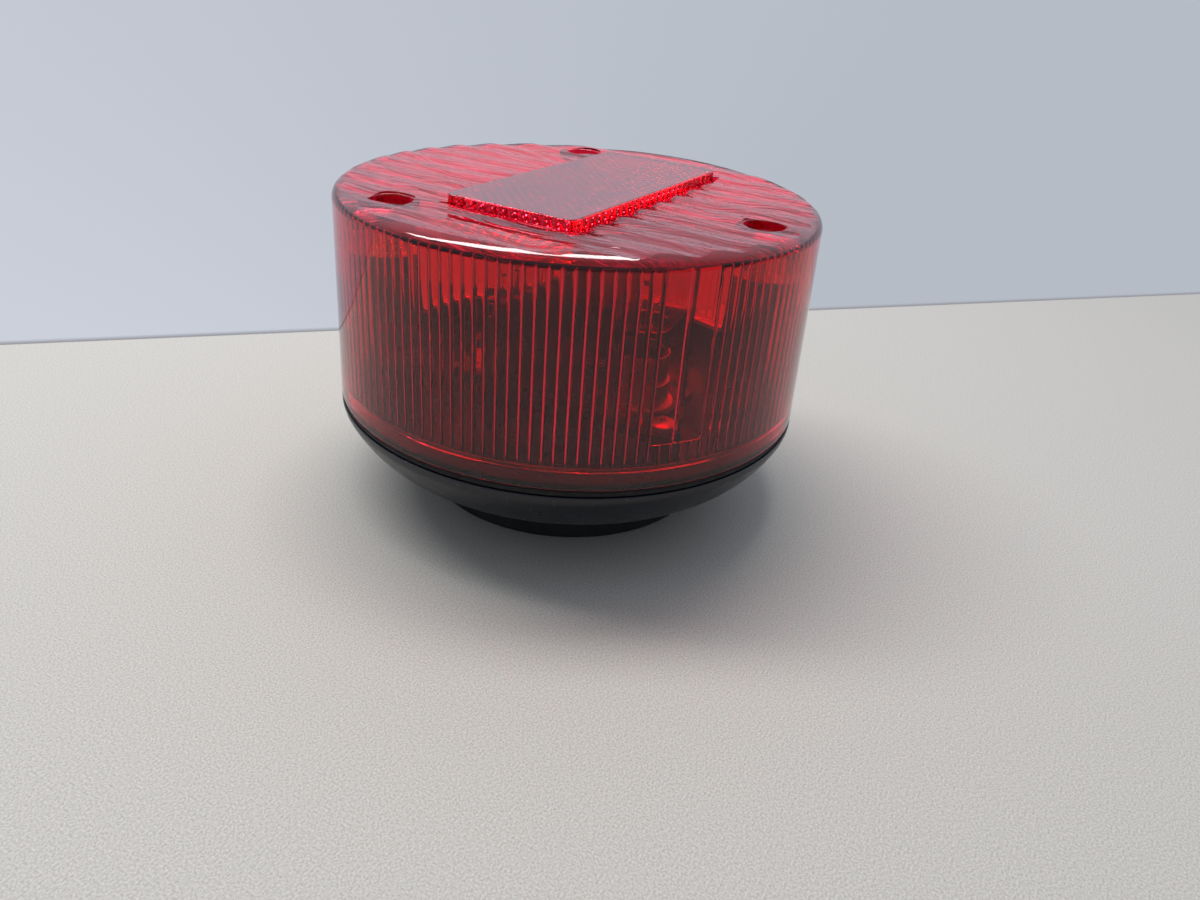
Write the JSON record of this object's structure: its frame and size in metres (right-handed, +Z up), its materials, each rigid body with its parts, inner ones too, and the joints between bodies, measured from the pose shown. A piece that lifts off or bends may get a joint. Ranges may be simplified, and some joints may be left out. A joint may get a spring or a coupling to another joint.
{
  "type": "motorcycle tail light",
  "caption": "Round red motorcycle tail and stop light: fluted lens with a wavy face and an oblong reflex reflector, screwed to a black bowl on a rubber foot, with two bayonet lamps inside.",
  "frame": {"origin": "middle of the rubber foot's underside, on the surface that the light stands on", "axes": "+Z up along the light's axis, out through the lens face; +X along the long side of the reflex reflector; +Y to the side of the tail lamp"},
  "size_m": [0.12, 0.12, 0.0804],
  "materials": {
    "red_lens": "clear red moulded plastic, glossy",
    "red_reflector": "clear red moulded plastic, prismatic, glossy",
    "black_plastic": "black moulded plastic, satin",
    "foot_rubber": "matte black rubber",
    "seal_rubber": "black rubber",
    "plated_steel": "bright zinc plate",
    "nickel_plate": "nickel-plated brass",
    "brass": "plain brass",
    "phenolic": "brown moulded phenolic",
    "bulb_glass": "clear glass",
    "black_glass": "black insulating glass",
    "solder": "dull solder",
    "tungsten": "dark tungsten wire"
  },
  "bodies": {
    "base": {"base_housing": "black_plastic", "lens_gasket": "seal_rubber", "post_inserts": "brass", "mounting_inserts": "brass", "mounting_pad": "foot_rubber", "cable_grommet": "seal_rubber", "lamp_carrier": "black_plastic", "carrier_screws": "plated_steel", "divider_plate": "black_plastic", "earth_strap": "brass", "socket_rivets": "plated_steel", "stop_socket": "nickel_plate", "stop_contact_block": "phenolic", "stop_spring": "plated_steel", "stop_terminal": "brass", "tail_socket": "nickel_plate", "tail_contact_block": "phenolic", "tail_spring": "plated_steel", "tail_terminal": "brass"},
    "lens_cover": {"lens": "red_lens", "reflex_reflector": "red_reflector", "lens_screws": "plated_steel", "screw_washers": "seal_rubber"},
    "stop_bulb": {"stop_bulb_cap": "nickel_plate", "stop_bulb_base": "black_glass", "stop_bulb_contact": "solder", "stop_bulb_glass": "bulb_glass", "stop_bulb_leads": "nickel_plate", "stop_bulb_filament": "tungsten", "stop_plunger": "brass"},
    "tail_bulb": {"tail_bulb_cap": "nickel_plate", "tail_bulb_base": "black_glass", "tail_bulb_contact": "solder", "tail_bulb_glass": "bulb_glass", "tail_bulb_leads": "nickel_plate", "tail_bulb_filament": "tungsten", "tail_plunger": "brass"}
  },
  "joints": [
    {"name": "lens_lift", "type": "slide", "parent": "base", "child": "lens_cover", "axis": [0, 0, 1], "range_m": [0, 0.06]},
    {"name": "stop_bulb_push", "type": "slide", "parent": "base", "child": "stop_bulb", "axis": [0, 0, -1], "range_m": [0, 0.002], "stiffness_N_per_m": 2500, "springref_m": -0.001, "deforming": ["stop_spring"]},
    {"name": "tail_bulb_push", "type": "slide", "parent": "base", "child": "tail_bulb", "axis": [0, 0, -1], "range_m": [0, 0.002], "stiffness_N_per_m": 2500, "springref_m": -0.001, "deforming": ["tail_spring"]}
  ]
}
